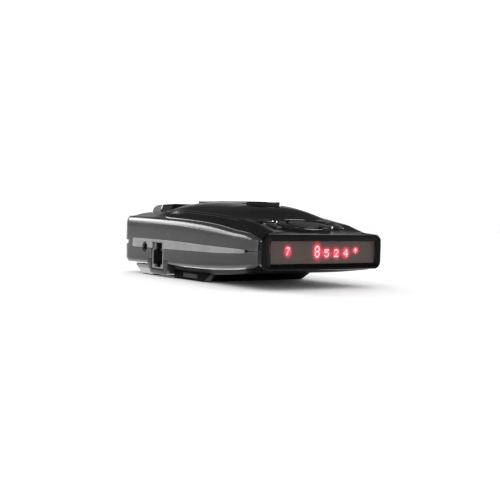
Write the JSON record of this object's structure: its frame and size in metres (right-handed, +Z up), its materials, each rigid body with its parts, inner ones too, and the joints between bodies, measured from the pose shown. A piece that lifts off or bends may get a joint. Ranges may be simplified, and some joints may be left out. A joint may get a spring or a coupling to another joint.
{
  "type": "radar detector",
  "caption": "Windshield-mounted radar detector: two-part wedge case, gloss top with keypad, end display, ribbed mount release, side sockets and belly speaker.",
  "frame": {"origin": "middle of the case's plan box, at the level of the flat belly face that it stands on", "axes": "+X to the driver's right, +Y from the display face towards the windshield, +Z up"},
  "size_m": [0.072, 0.134, 0.0404],
  "materials": {
    "case_grey": "satin graphite-grey paint on moulded plastic, fine texture",
    "cover_gloss": "gloss black moulded plastic",
    "belly_black": "fine-textured black moulded plastic",
    "trim_silver": "satin light-grey moulded plastic",
    "sensor_lens": "polished infrared-passing dark plastic",
    "label_foil": "blank satin foil label",
    "bezel_gloss": "piano-black moulded plastic",
    "display_lens": "smoked brown-grey display lens",
    "circuit_board": "green solder mask",
    "component_black": "moulded black epoxy",
    "silicone": "translucent grey silicone",
    "key_black": "satin black key cap",
    "steel": "zinc-plated steel",
    "tinned_steel": "tin-plated sheet steel",
    "ceramic": "sintered ceramic with a silvered face",
    "cast_horn": "die-cast metal",
    "speaker_paper": "black paper cone",
    "socket_black": "black glass-filled plastic"
  },
  "bodies": {
    "root": {"upper_housing": "case_grey", "lower_housing": "case_grey", "socket_surround": "case_grey", "top_cover": "cover_gloss", "belly_cover": "belly_black", "left_side_trim": "trim_silver", "right_side_trim": "trim_silver", "front_lens": "sensor_lens", "rating_label": "label_foil", "display_bezel": "bezel_gloss", "display_window": "display_lens", "display_circuit_board": "circuit_board", "led_matrix_module": "component_black", "rear_laser_sensor": "component_black", "display_header": "component_black", "button_ring": "bezel_gloss", "keypad_board": "circuit_board", "keypad_membrane": "silicone", "mount_housing": "cover_gloss", "release_button_spring": "steel", "main_circuit_board": "circuit_board", "rf_shield_can": "tinned_steel", "processor_chip": "component_black", "memory_chip": "component_black", "receiver_chip": "component_black", "input_capacitor": "component_black", "output_capacitor": "component_black", "gps_patch_antenna": "ceramic", "board_screw_left": "steel", "board_screw_right": "steel", "board_screw_near": "steel", "horn_antenna": "cast_horn", "front_laser_sensor": "component_black", "speaker_frame": "component_black", "speaker_cone": "speaker_paper", "speaker_magnet": "steel", "modular_jack_socket": "socket_black", "earphone_jack_socket": "socket_black", "case_screw_1": "steel", "case_screw_2": "steel", "case_screw_3": "steel", "case_screw_4": "steel"},
    "button_mute": {"button_mute": "key_black"},
    "button_sensitivity": {"button_sensitivity": "key_black"},
    "button_brightness": {"button_brightness": "key_black"},
    "button_power": {"button_power": "key_black"},
    "button_mark": {"button_mark": "key_black"},
    "button_volume_down": {"button_volume_down": "key_black"},
    "button_volume_up": {"button_volume_up": "key_black"},
    "mount_release_button": {"mount_release_button": "key_black"},
    "mount_latch": {"mount_latch": "steel"}
  },
  "joints": [
    {"name": "button_mute_press", "type": "slide", "parent": "root", "child": "button_mute", "axis": [0, 0.2453, -0.9694], "range_m": [0, 0.0006], "stiffness_N_per_m": 150, "springref_m": -0.0006},
    {"name": "button_sensitivity_press", "type": "slide", "parent": "root", "child": "button_sensitivity", "axis": [0, 0.2453, -0.9694], "range_m": [0, 0.0006], "stiffness_N_per_m": 150, "springref_m": -0.0006},
    {"name": "button_brightness_press", "type": "slide", "parent": "root", "child": "button_brightness", "axis": [0, 0.2453, -0.9694], "range_m": [0, 0.0006], "stiffness_N_per_m": 150, "springref_m": -0.0006},
    {"name": "button_power_press", "type": "slide", "parent": "root", "child": "button_power", "axis": [0, 0.2453, -0.9694], "range_m": [0, 0.0006], "stiffness_N_per_m": 150, "springref_m": -0.0006},
    {"name": "button_mark_press", "type": "slide", "parent": "root", "child": "button_mark", "axis": [0, 0.2453, -0.9694], "range_m": [0, 0.0006], "stiffness_N_per_m": 150, "springref_m": -0.0006},
    {"name": "button_volume_down_press", "type": "slide", "parent": "root", "child": "button_volume_down", "axis": [0, 0.2453, -0.9694], "range_m": [0, 0.0006], "stiffness_N_per_m": 150, "springref_m": -0.0006},
    {"name": "button_volume_up_press", "type": "slide", "parent": "root", "child": "button_volume_up", "axis": [0, 0.2453, -0.9694], "range_m": [0, 0.0006], "stiffness_N_per_m": 150, "springref_m": -0.0006},
    {"name": "release_button_press", "type": "slide", "parent": "root", "child": "mount_release_button", "axis": [0, 0, -1], "range_m": [0, 0.0015], "stiffness_N_per_m": 500, "springref_m": -0.001, "deforming": ["release_button_spring"]},
    {"name": "mount_latch_slide", "type": "slide", "parent": "root", "child": "mount_latch", "axis": [0, 1, 0], "range_m": [0, 0.0015]}
  ],
  "couplings": [
    {"joint": "mount_latch_slide", "follows": "release_button_press", "ratio": 1}
  ]
}
